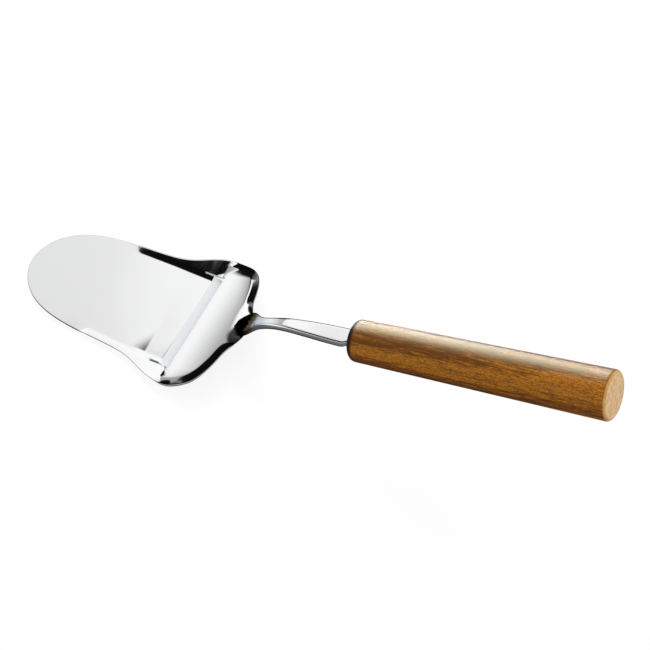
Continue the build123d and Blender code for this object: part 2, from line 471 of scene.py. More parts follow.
@dataclass(frozen=True)
class BarSteel(BuffedSteel):
    """Polished bar whose foot is darkened in mottled bands that clear towards the rise, partly heat tint and partly
    painted shade.
    """

    # Near black at the foot: partly heat tint, partly painted shade.
    foot_tint_and_shade: Tone = (0.003, 0.0025, 0.002, 1)
    olive: Tone = (0.11, 0.09, 0.06, 1)
    blue: Tone = (0.5, 0.55, 0.6, 1)
    olive_start: Pair = (70.0, 72.0)
    blue_start: Pair = (72.0, 75.0)
    clean_start: Pair = (75.0, 81.5)
    mottle: float = 4.0
    mottle_scale: float = 900.0
    mottle_detail: float = 4.0
    mottle_fineness: float = 0.65
    rough: Pair = (0.3, 0.09)
    edge_tone: Tone = (0.4, 0.4, 0.4, 1)

    def paint(self, bench: NodeBench) -> None:
        """Adds the bands, picked by the place along the bar and shifted by noise, then the marks."""
        spots = bench.noise(bench.place(), self.mottle_scale, self.mottle_detail, self.mottle_fineness)
        along = bench.math("DIVIDE", bench.parts(bench.place())[0], MM)
        along = bench.math("ADD", along, bench.around(spots, self.mottle))
        # Bands from near black through olive and blue-grey to clean steel: partly heat tint, partly painted shade on
        # the foot and the start of the rise.
        tone = bench.fade(along, self.olive_start, self.foot_tint_and_shade, self.olive)
        tone = bench.fade(along, self.blue_start, tone, self.blue)
        tone = bench.fade(along, self.clean_start, tone, self.clean)
        # The foot's reflections are dimmed as well, part of the same painted shade.
        edge = bench.fade(along, self.blue_start, self.edge_tone, WHITE)
        self.buff(bench, tone, bench.ramp(along, *self.blue_start, *self.rough), Specular_Tint=edge)


@dataclass(frozen=True)
class TurnedWood(Finish):
    """Varnished fine-grained hardwood: soft bands, fine fibres and short dark flecks along the handle.

    Its two ends differ from its side: the front end is painted near black, a painted shade, and the butt's face and
    its ring are painted pale, a painted highlight that on the face is partly pale end grain. The front's limits are
    distances from the front end, and the ring's and the butt's are from the butt.
    """

    tilt: float
    front: float
    length: float
    light: Tone = (0.47, 0.158, 0.003, 1)
    dark: Tone = (0.12, 0.032, 0.001, 1)
    fleck_tone: Tone = (0.07, 0.018, 0.0015, 1)
    # Painted shade: the front end is painted near black.
    painted_front_shade: Tone = (0.02, 0.006, 0.002, 1)
    # Painted highlight: the butt's face and its rounded ring are painted pale, the face partly pale end grain.
    pale_end_and_highlight_tone: Tone = (0.92, 0.62, 0.33, 1)
    ring_highlight_tone: Tone = (0.6, 0.36, 0.12, 1)
    varnish_tone: Tone = (1.0, 0.98, 0.54, 1)
    band_grain: Grain = ((8, 190, 190), 4.0, 0.55)
    fibre_grain: Grain = ((120, 2500, 2500), 4.0, 0.7)
    speck_grain: Grain = ((1100, 3600, 3600), 2.0, 0.6)
    fleck_grain: Grain = ((240, 2900, 2900), 1.0, 0.5)
    mottle_grain: Grain = ((500, 800, 800), 3.0, 0.6)
    light_limits: Pair = (0.45, 0.56)
    speck_limits: Pair = (0.42, 0.58)
    fleck_limits: Pair = (0.58, 0.7)
    mottle_limits: Pair = (0.42, 0.62)
    speck_share: float = 0.65
    fleck_share: float = 0.75
    mottle_share: float = 0.4
    front_limits: Pair = (1.9, 3.4)
    gloss_limits: Pair = (1.5, 3.0)
    ring_limits: Pair = (-1.3, -0.6)
    butt_limits: Pair = (-0.4, -0.1)
    ragged: float = 0.6
    gloss: Pair = (0.03, 0.4)
    rough_limits: Pair = (0.3, 0.7)
    rough: Pair = (0.34, 0.48)
    relief: float = 0.6
    relief_strength: float = 0.3
    relief_depth: float = 0.06

    def paint(self, bench: NodeBench) -> None:
        """Adds the grain along the handle's own axis, then its ends."""
        along = bench.place(turn=(0, math.radians(self.tilt), 0))
        grains = (self.band_grain, self.fibre_grain, self.speck_grain, self.fleck_grain, self.mottle_grain)
        bands, fibre, speck, fleck, mottle = (self.grain(bench, along, *grain) for grain in grains)
        fleck = bench.ramp(fleck, *self.fleck_limits)
        mix = bench.product(bench.math("ADD", bands, fibre), 0.5)
        tone = bench.fade(mix, self.light_limits, self.dark, self.light)
        tone = bench.blend(bench.ramp(speck, *self.speck_limits, 0.0, self.speck_share), tone, self.dark)
        tone = bench.blend(bench.product(fleck, self.fleck_share), tone, self.fleck_tone)

        at = bench.math("SUBTRACT", bench.math("DIVIDE", bench.parts(along)[0], MM), self.front)
        gloss = bench.ramp(at, *self.gloss_limits, *self.gloss)
        at = bench.math("ADD", at, bench.around(speck, self.ragged))
        past = bench.math("SUBTRACT", at, self.length)
        ring = bench.ramp(past, *self.ring_limits)
        # Painted shade at the front end.
        tone = bench.fade(at, self.front_limits, self.painted_front_shade, tone)
        # Painted highlight on the butt's rounded ring and face, the face partly pale end grain; the ring also takes
        # light mottling.
        tone = bench.blend(ring, tone, self.ring_highlight_tone)
        tone = bench.fade(past, self.butt_limits, tone, self.pale_end_and_highlight_tone)
        mottle = bench.ramp(mottle, *self.mottle_limits, 0.0, self.mottle_share)
        tone = bench.blend(bench.product(ring, mottle), tone, self.light)

        rough = bench.ramp(fibre, *self.rough_limits, *self.rough)
        height = bench.product(bench.math("SUBTRACT", fibre, fleck), self.relief)
        bench.finish(tone, rough, height, self.relief_strength, self.relief_depth, Specular_IOR_Level=gloss,
                     Specular_Tint=self.varnish_tone)

    def grain(self, bench: NodeBench, place: Socket, stretch: Triple, detail: float, roughness: float) -> Socket:
        """Noise of some detail and roughness, stretched along and across the handle."""
        place = bench.add("ShaderNodeMapping", {"Vector": place, "Scale": stretch}).outputs["Vector"]
        return bench.noise(place, 1.0, detail, roughness)


POLISHED_SHEET = SheetSteel("polished_sheet", (0.92, 0.922, 0.926, 1), (180, 2600, 2600), 12.0, 0.02)
POLISHED_BAR = BarSteel("polished_bar", (0.9, 0.902, 0.908, 1), (150, 2400, 2400), 0.0, 0.05)
GROUND_BEVEL = GrainedFinish(
    "ground_bevel", tones=((0.747, 0.774, 0.792, 1), (0.83, 0.86, 0.88, 1)), tone_limits=(0.3, 0.7),
    rough=(0.357, 0.483), rough_limits=(0.2, 0.8), stretch=(300, 5000, 300), detail=4.0, fineness=0.5,
    strength=0.35, depth=0.01, metal=0.15)
HEAT_TINTED_WELD = GrainedFinish(
    "heat_tinted_weld", tones=((0.008, 0.006, 0.005, 1), (0.055, 0.047, 0.04, 1)), tone_limits=(0.38, 0.66),
    rough=(0.494, 0.285), rough_limits=(0.3, 0.7), stretch=(1100, 1100, 1100), detail=5.0, fineness=0.65,
    strength=0.5, depth=0.06, metal=1.0)
CURED_GLUE = GrainedFinish(
    "cured_glue", tones=((0.05, 0.03, 0.018, 1), (0.09, 0.054, 0.0324, 1)), tone_limits=(0.35, 0.65),
    rough=(0.5, 0.5), rough_limits=(0.3, 0.7), stretch=(900, 900, 900), detail=2.0, fineness=0.5,
    strength=0.4, depth=0.1, metal=0.0)


@dataclass
class Blade:
    """Stamped sheet blade: flat front plate, pressed-down tongue with its ground edge, slot, hump and curled rims.

    Each pair is where a change of form starts and over how long it runs: along the blade from the cutting edge, or
    for a side or a middle from the middle line outwards.
    """

    sheet: float = 1.0
    length: float = 99.4
    half_width: float = 32.9
    tip_reach: float = 29.3
    edge_reach: float = 45.9
    tongue_width: float = 47.2
    slot_gap: float = 1.0
    leg_gap: float = 0.6
    leg_length: float = 8.0
    bevel_width: float = 3.7
    edge_land: float = 0.12
    tongue_drop: float = 0.5
    crease_setback: float = 11.9
    dip_length: float = 30.5
    dip_crease_length: float = 10.1
    dip_side: Pair = (21.0, 3.2)
    crease_fade_start: float = 6.0
    crease_fade_end: float = 31.0
    rise_start: float = 2.2
    rise_round: float = 5.8
    rise_run: float = 22.0
    rise_height: float = 6.8
    hump_start: float = 2.0
    hump_run: float = 17.75
    hump_height: float = 2.92
    hump_side: Pair = (24.6, 19.2)
    hump_power: float = 1.77
    rim_first: Pair = (-42.5, 6.0)
    rim_round: float = 1.0
    rim_first_width: float = 4.25
    rim_gain_width: float = 4.5
    rim_gain: Pair = (-16.0, 13.4)
    rim_loss_width: float = 6.45
    rim_loss: Pair = (-4.6, 14.6)
    rim_first_slope: float = 0.119
    rim_gain_slope: float = 0.05
    rim_steepen: Pair = (-22.3, 18.9)
    rim_end: Pair = (11.1, 2.7)
    roll_start: Pair = (-1.5, 7.1)
    roll_width: float = 3.35
    roll_round: float = 0.4
    roll_slope: float = 0.42
    roll_middle: Pair = (6.0, 8.3)
    rim_rounding: float = 0.28
    rim_rounding_steps: int = 5
    curve_steps: int = 24
    border_stride: int = 3
    row_pitch: float = 0.5
    inner_lines: int = 40
    outer_lines: int = 16
    inner_share: float = 0.8
    facet_line: float = 0.05
    slope_step: float = 0.25
    outline_shares: tuple[Pair, ...] = (
        (0.000, 0.000), (0.010, 0.178), (0.041, 0.352), (0.100, 0.525), (0.178, 0.640),
        (0.275, 0.707), (0.392, 0.740), (0.509, 0.766), (0.587, 0.811), (0.665, 0.914),
        (0.724, 0.979), (0.778, 1.000), (0.834, 0.973), (0.891, 0.885), (0.929, 0.708),
        (0.946, 0.531), (0.957, 0.390), (0.974, 0.285), (0.992, 0.175), (1.000, 0.000),
    )
    border: Array = field(init=False)

    def __post_init__(self) -> None:
        """Works out the outline all the way round, from the tip along the far side."""
        half = np.array(self.outline_shares) * (self.length, self.half_width) - (self.tip_reach, 0)
        near = half[-2:0:-1] * (1, -1)
        self.border = closed_curve(np.concatenate([half, near]), self.curve_steps)

    @property
    def lip_x(self) -> float:
        """Place of the raised lip behind the slot."""
        return self.edge_reach + self.slot_gap

    @property
    def leg_x(self) -> float:
        """Place where the gaps beside the tongue begin."""
        return self.edge_reach - self.leg_length

    @property
    def crease_x(self) -> float:
        """Place of the crease across the tongue's root."""
        return self.edge_reach - self.crease_setback

    @property
    def bevel_x(self) -> float:
        """Place where the ground bevel begins."""
        return self.edge_reach - self.bevel_width

    @property
    def window_half(self) -> float:
        """Half width of the cut that frees the tongue."""
        return self.tongue_width / 2 + self.leg_gap

    def gap_inside(self, x: Array, y: Array) -> Array:
        """Distance of each point inside the outline, negative outside it.

        Args:
            x: Places along the blade.
            y: Places across the blade.

        Returns:
            The least distance to the outline's short runs, with the sign from how often a line crosses them.
        """
        border = self.border[::self.border_stride]
        side = np.roll(border, -1, axis=0) - border
        px = x[..., None] - border[:, 0]
        py = y[..., None] - border[:, 1]
        share = np.clip((px * side[:, 0] + py * side[:, 1]) / np.sum(side ** 2, axis=1), 0, 1)
        gap = np.hypot(px - share * side[:, 0], py - share * side[:, 1]).min(axis=-1)
        spans = (py < 0) != (py - side[:, 1] < 0)
        crossings = np.sum(spans & ((px * side[:, 1] < py * side[:, 0]) == (side[:, 1] > 0)), axis=-1)
        return np.where(crossings % 2 == 1, gap, -gap)

    def formed_height(self, x: Array, y: Array) -> Array:
        """Height of the sheet's upper face.

        It is the sum of the sheet, a slope with a rounded start behind the slot, a hump that is highest across the
        middle, a dip into the tongue with a crease that fades across its root, rims that curl up, and a border that
        rolls down round the rear but not across the middle, where the shank's foot sits.

        Args:
            x: Places along the blade.
            y: Places across the blade.

        Returns:
            Heights over the front plate's underside.
        """
        side = np.abs(y)
        gap = self.gap_inside(x, y)
        run = x - self.edge_reach + self.rise_start
        rounded = np.clip(run + self.rise_round, 0, None) ** 2 / (4 * self.rise_round)
        rise = self.rise_height / self.rise_run * np.where(run < self.rise_round, rounded, run)

        t = np.clip(bent_up(x - self.lip_x + self.hump_start, self.hump_start) / self.hump_run, 0, 1)
        hump = self.hump_height * (1 - (1 - t) ** self.hump_power)
        hump = hump * (1 - ease(side, *self.hump_side))

        creased = ease(-y, -self.crease_fade_start, self.crease_fade_start + self.crease_fade_end)
        soft = ease(x, self.crease_x - self.dip_length, self.dip_length)
        sharp = np.clip((x - self.crease_x + self.dip_crease_length) / self.dip_crease_length, 0, 1) ** 2
        dip = self.tongue_drop * (creased * sharp + (1 - creased) * soft)
        dip = dip * (1 - ease(x, self.leg_x, self.lip_x - self.leg_x))
        dip = dip * (1 - ease(side, *self.dip_side))

        past = x - self.edge_reach
        first = ease(past, *self.rim_first)
        width = self.rim_first_width * first + self.rim_gain_width * ease(past, *self.rim_gain)
        width = width - self.rim_loss_width * ease(past, *self.rim_loss)
        slope = self.rim_first_slope * first + self.rim_gain_slope * ease(past, *self.rim_steepen)
        slope = slope * (1 - ease(past, *self.rim_end))
        curl = slope * bent_up(width - gap, self.rim_round)

        slope = self.roll_slope * ease(past, *self.roll_start) * ease(side, *self.roll_middle)
        roll = slope * bent_up(self.roll_width - gap, self.roll_round)
        return self.sheet + rise + hump - dip + curl - roll

    def faces_at(self, x: Array, y: Array) -> tuple[Array, Array]:
        """Heights of the upper and the lower face, one sheet apart square to the slope."""
        top = self.formed_height(x, y)
        step = self.slope_step
        slope_x = (self.formed_height(x + step, y) - self.formed_height(x - step, y)) / (2 * step)
        slope_y = (self.formed_height(x, y + step) - self.formed_height(x, y - step)) / (2 * step)
        return top, top - self.sheet * np.sqrt(1 + slope_x ** 2 + slope_y ** 2)

    def rim_rows(self) -> tuple[Array, Array]:
        """Matching points of the outline and of the line where its rounding begins, from tip to rear.

        Returns:
            Outline points and inner points of (rows, 2) on the far side, with rows at the places that the slot needs.
        """
        half = self.border[: len(self.border) // 2 + 1]
        normal = right_of(unit(np.gradient(half, axis=0)))
        normal[0] = (1, 0)
        normal[-1] = (-1, 0)
        inner = half + self.rim_rounding * normal
        inner[[0, -1], 1] = 0
        run = run_along(half)
        marks = [self.crease_x, self.leg_x, self.bevel_x - self.facet_line, self.bevel_x + self.facet_line,
                 self.edge_reach, self.lip_x]
        ends = np.concatenate([[0], np.interp(marks, inner[:, 0], run), [run[-1]]])
        rows = [np.linspace(a, b, 1 + max(1, math.ceil((b - a) / self.row_pitch))) for a, b in zip(ends, ends[1:])]
        places = np.unique(np.concatenate(rows))
        return points_at(places, run, half), points_at(places, run, inner)

    def face_grid(self, inner: Array) -> tuple[Array, Array]:
        """Grid of the two faces: rows run straight across from rim to rim, and lines follow the slot's sides.

        Args:
            inner: Points on the far side where the rim's rounding begins, one for each row.

        Returns:
            Places along and places across, of (rows, columns).
        """
        reach = inner[:, 1:]
        core = np.minimum(self.window_half, self.inner_share * reach)
        shares = np.linspace(0, self.tongue_width / 2, self.inner_lines)
        shares = np.append(shares, self.window_half) / self.window_half
        beyond = np.linspace(0, 1, self.outer_lines + 1)[1:]
        half = np.concatenate([core * shares, core + (reach - core) * beyond], axis=1)
        y = np.concatenate([-half[:, :0:-1], half], axis=1)
        return np.repeat(inner[:, :1], y.shape[1], axis=1), y

    def skins(self, x: Array, y: Array) -> tuple[Array, Array]:
        """Heights of the upper and the lower face, with the tongue level along its length and ground to its edge."""
        top, low = self.faces_at(x, y)
        slack = self.facet_line / 2
        on_tongue = (x > self.leg_x + slack) & (x < self.edge_reach + slack)
        on_tongue = on_tongue & (np.abs(y) < self.tongue_width / 2 + slack)
        level, _ = self.faces_at(np.full(y.shape, self.leg_x), y)
        ground = np.clip((x - self.bevel_x) / self.bevel_width, 0, 1) * (self.sheet - self.edge_land)
        return np.where(on_tongue, level - ground, top), np.where(on_tongue, level - self.sheet, low)

    def build(self) -> Piece:
        """Builds the blade: two faces of one grid, walls round the slot, and the rim's rounding along the outline.

        Returns:
            The blade, with its bevel in the second material slot.
        """
        outer, inner = self.rim_rows()
        x, y = self.face_grid(inner)
        rows, columns = x.shape
        middle_x = (x[:-1, :-1] + x[1:, :-1]) / 2
        middle_y = np.abs(y[:-1, :-1] + y[:-1, 1:]) / 2
        on_tongue = middle_y < self.tongue_width / 2
        slot = (middle_x > self.leg_x) & (middle_x < self.lip_x) & (middle_y < self.window_half)
        slot = slot & ((middle_x > self.edge_reach) | ~on_tongue)
        bevel = (middle_x > self.bevel_x) & (middle_x < self.edge_reach) & on_tongue
        keep = ~slot

        upper = grid_faces(rows, columns)[keep.ravel()]
        lower = upper[:, ::-1] + rows * columns
        index = np.arange(rows * columns).reshape(rows, columns)
        across = keep[:-1] != keep[1:]
        along = keep[:, :-1] != keep[:, 1:]
        walls = np.concatenate([
            np.stack([index[1:-1, :-1][across], index[1:-1, 1:][across]], axis=1),
            np.stack([index[:-1, 1:-1][along], index[1:, 1:-1][along]], axis=1),
        ])
        walls = np.concatenate([walls, walls[:, ::-1] + rows * columns], axis=1)
        places = [np.stack([x, y, z], axis=-1).reshape(-1, 3) for z in self.skins(x, y)]
        faces = [upper, lower, walls]

        angle = np.linspace(math.pi / 2, 0, self.rim_rounding_steps)
        share = np.concatenate([np.cos(angle), np.cos(angle[::-1])])
        drop = self.rim_rounding * (1 - np.sin(angle))
        rim = inner[:, None, :] + (outer - inner)[:, None, :] * share[None, :, None]
        for sign in (1, -1):
            rim_x, rim_y = rim[..., 0], sign * rim[..., 1]
            top, low = self.faces_at(rim_x, rim_y)
            z = np.concatenate([top[:, :len(angle)] - drop, low[:, len(angle):] + drop[::-1]], axis=1)
            faces.append(grid_faces(rows, len(share), sum(len(part) for part in places)))
            places.append(np.stack([rim_x, rim_y, z], axis=-1).reshape(-1, 3))
        slots = np.zeros(sum(len(part) for part in faces))
        slots[: len(upper)] = bevel[keep]
        return make_piece("blade_sheet", np.concatenate(places), np.concatenate(faces), slots)


@dataclass
class Shank:
    """Flat bar: a leaf-shaped foot on the blade, a rise that eases into a run, and a tang in the handle."""

    bar_thickness: float = 3.2
    foot_width: float = 9.9
    foot_x: float = 64.6
    seat_height: float = 10.35
    seat_slope: float = 6.8 / 22
    tang_width: float = 5.0
    tang_neck: float = 2.2
    neck_lead: float = 0.25
    neck_run: float = 1.5
    tang_length: float = 58.0
    handle_front_reach: float = 51.6
    handle_front_height: float = 33.4
    handle_tilt: float = 16.1
    edge_round: float = 0.75
    edge_share_across: float = 0.9
    edge_share_up: float = 0.45
    toe_round: float = 0.9
    toe_half_width: float = 0.02
    seat_reach: float = 8.0
    pitch: float = 0.4
    fine_start: float = 0.1
    corner_steps: int = 7
    flat_steps: int = 6
    curve_steps: int = 24
    line_shares: tuple[Pair, ...] = (
        (-0.031, -0.035), (0.027, 0.057), (0.066, 0.120), (0.134, 0.245), (0.221, 0.383),
        (0.308, 0.505), (0.415, 0.624), (0.550, 0.727), (0.744, 0.847), (1.000, 1.000),
    )
    width_shares: tuple[Pair, ...] = (
        (0.000, 0.000), (0.005, 0.230), (0.022, 0.500), (0.053, 0.780), (0.085, 0.950), (0.114, 1.000),
        (0.143, 0.900), (0.172, 0.700), (0.202, 0.500), (0.235, 0.410), (0.298, 0.390), (0.395, 0.470),
        (0.530, 0.580), (0.725, 0.710), (0.880, 0.770), (0.925, 0.780),
    )

    @property
    def handle_front(self) -> Array:
        """Place of the handle's front end, as x and z."""
        return np.array([self.foot_x + self.handle_front_reach, self.handle_front_height])

    @property
    def axis(self) -> Array:
        """Direction of the handle and the tang, as x and z."""
        return np.array([math.cos(math.radians(self.handle_tilt)), math.sin(math.radians(self.handle_tilt))])

    def seat_at(self, x: Array) -> Array:
        """Height of the blade's sloping seat under the foot."""
        return self.seat_height + self.seat_slope * (x - self.foot_x)

    def side_lines(self) -> tuple[Array, Array]:
        """Upper and lower line of the bar in side view, half a thickness to each side of its middle line.

        Returns:
            Places of (count, 2) as x and z for each line, from below the foot's toe to the tang's end.
        """
        rise = self.handle_front_height - self.seat_height
        middle = np.array(self.line_shares) * (self.handle_front_reach, rise) + (self.foot_x, self.seat_height)
        middle = open_curve(middle, middle[1] - middle[0], self.axis, self.curve_steps)
        along = np.concatenate([np.gradient(middle, axis=0), self.axis[None]])
        middle = np.concatenate([middle, middle[-1:] + self.axis * self.tang_length])
        half = right_of(unit(along)) * self.bar_thickness / 2
        return middle - half, middle + half

    def plan_edge(self) -> Array:
        """Edge of the foot and the bar in plan, from the neck's far side round the foot's toe to its near side."""
        half = np.array(self.width_shares) * (self.handle_front_reach, self.foot_width / 2) + (self.foot_x, 0)
        points = np.concatenate([half[::-1], half[1:] * (1, -1)])
        return open_curve(points, points[1] - points[0], points[-1] - points[-2], self.curve_steps)

    def half_width_at(self, x: Array) -> Array:
        """Half width of the bar in plan: the curved edge, then the neck that narrows to the tang."""
        edge = self.plan_edge()
        half = edge[: len(edge) // 2 + 1][::-1]
        width = np.interp(x, half[:, 0], half[:, 1])
        neck = ease(x, half[-1, 0] - self.tang_neck * self.neck_lead, self.tang_neck * self.neck_run)
        return width + (self.tang_width / 2 - width) * neck

    def section(self) -> Array:
        """Upright section of the bar, from the far side's middle over the top to the near side and back below.

        Returns:
            Rows of the point's side (1 far, -1 near), its edge (1 top, -1 bottom), and its place across and up on the
            edge's rounding.
        """
        quarter = np.linspace(0, math.pi / 2, self.corner_steps)
        flat = np.linspace(1, -1, self.flat_steps + 2)[1:-1]
        points = []
        for corner, (side, high) in enumerate(((1, 1), (-1, 1), (-1, -1), (1, -1))):
            angles = quarter + corner * math.pi / 2
            points += [(side, high, math.cos(angle), math.sin(angle)) for angle in angles]
            if side == high:
                points += [(side * share, high, 0, high) for share in flat]
        return np.array(points + points[:1]).T

    def build(self) -> Piece:
        """Builds the shank as its section carried along the bar, from the foot's toe to the tang's end.

        The section's top and bottom are the two side lines, the bottom is cut off at the seat, and the top rounds
        over at the toe.

        Returns:
            The shank.
        """
        upper, lower = self.side_lines()
        end = upper[-1, 0]
        share = np.linspace(0, 1, int((end - self.foot_x) / self.pitch))
        x = self.foot_x + (end - self.foot_x) * bent_up(share, self.fine_start) / (1 - self.fine_start / 2)
        half = np.clip(self.half_width_at(x), self.toe_half_width, None)
        over = np.clip(1 - (x - self.foot_x) / self.toe_round, 0, 1)
        top = np.interp(x, upper[:, 0], upper[:, 1]) - self.toe_round * (1 - np.sqrt(1 - over ** 2))
        bottom = np.interp(x, lower[:, 0], lower[:, 1])
        bottom = np.where(x < self.foot_x + self.seat_reach, np.maximum(bottom, self.seat_at(x)), bottom)

        side, high, turn_y, turn_z = self.section()
        round_y = np.minimum(self.edge_round, self.edge_share_across * half)[:, None]
        round_z = np.minimum(self.edge_round, self.edge_share_up * (top - bottom))[:, None]
        y = side * (half[:, None] - round_y) + round_y * turn_y
        z = np.where(high > 0, top[:, None] - round_z, bottom[:, None] + round_z) + round_z * turn_z
        return make_bar("shank_bar", np.stack([np.repeat(x[:, None], y.shape[1], axis=1), y, z], axis=-1))


@dataclass
class FootWeld:
    """Weld bead round the foot's toe: a lumpy half-round run on the blade's seat."""

    shank: Shank
    radius: float = 0.7
    length: float = 11.0
    lump: float = 0.1
    lump_pitch: float = 1.3
    least_share: float = 0.02
    depth_share: float = 0.35
    steps: int = 160
    around: int = 24

    def build(self) -> Piece:
        """Builds the bead as a ring carried along the edge of the foot's toe."""
        edge = self.shank.plan_edge()
        run = run_along(edge)
        s = np.linspace(0, self.length, self.steps)
        toe = points_at(run[-1] / 2 - self.length / 2 + s, run, edge)
        outwards = right_of(unit(np.gradient(toe, axis=0)))
        swell = 1 + self.lump * np.sin(2 * math.pi * s / self.lump_pitch) / self.radius
        taper = np.sqrt(np.clip(np.minimum(s, self.length - s) / self.radius, 0, 1))
        size = self.radius * swell * np.clip(taper, self.least_share, 1)
        angle = np.linspace(0, 2 * math.pi, self.around + 1)
        plan = toe[:, None] + outwards[:, None] * (size[:, None] * np.cos(angle))[..., None]
        up = size[:, None] * np.clip(np.sin(angle), -self.depth_share, None)
        z = self.shank.seat_at(plan[..., 0]) + up
        return make_bar("foot_weld_bead", np.concatenate([plan, z[..., None]], axis=-1))


@dataclass
class Handle:
    """Turned handle: a cone with rounded ends and a bore for the tang."""

    shank: Shank
    length: float = 106.1
    front_diameter: float = 16.4
    butt_diameter: float = 19.1
    front_round: float = 2.3
    butt_round: float = 1.8
    bore_diameter: float = 6.4
    bore_bottom_gap: float = 2.0
    round_steps: int = 9
    front_steps: int = 4
    butt_steps: int = 6
    length_steps: int = 44
    around: int = 144

    def profile(self) -> Array:
        """Profile from the bore's bottom out to the front face, along the cone and to the middle of the butt.

        Returns:
            Places of (count, 2), as distances along the axis and radii.
        """
        front = self.front_diameter / 2
        butt = self.butt_diameter / 2
        bore = self.bore_diameter / 2
        depth = self.shank.tang_length + self.bore_bottom_gap
        quarter = np.linspace(0, math.pi / 2, self.round_steps)
        near, far = 1 - np.cos(quarter), 1 - np.sin(quarter)
        along = np.linspace(self.front_round, self.length - self.butt_round, self.length_steps)
        return np.concatenate([
            [[depth, 0]],
            np.linspace((depth, bore), (0, bore), self.length_steps),
            np.linspace((0, bore), (0, front - self.front_round), self.front_steps + 1)[1:],
            np.stack([self.front_round * near, front - self.front_round * far], axis=1)[1:-1],
            np.stack([along, front + (butt - front) / self.length * along], axis=1),
            np.stack([self.length - self.butt_round * far, butt - self.butt_round * near], axis=1)[1:],
            np.linspace((self.length, butt - self.butt_round), (self.length, 0), self.butt_steps + 1)[1:],
        ])

    def build(self) -> Piece:
        """Builds the handle by turning its profile round its own axis."""
        profile = self.profile()[:, None]
        angle = np.linspace(0, 2 * math.pi, self.around + 1)[:, None]
        axis = np.insert(self.shank.axis, 1, 0)
        up = np.array([-axis[2], 0, axis[0]])
        ring = np.cos(angle) * (0, 1, 0) + np.sin(angle) * up
        start = np.insert(self.shank.handle_front, 1, 0)
        return make_skin("handle_turned", start + profile[..., :1] * axis + profile[..., 1:] * ring)


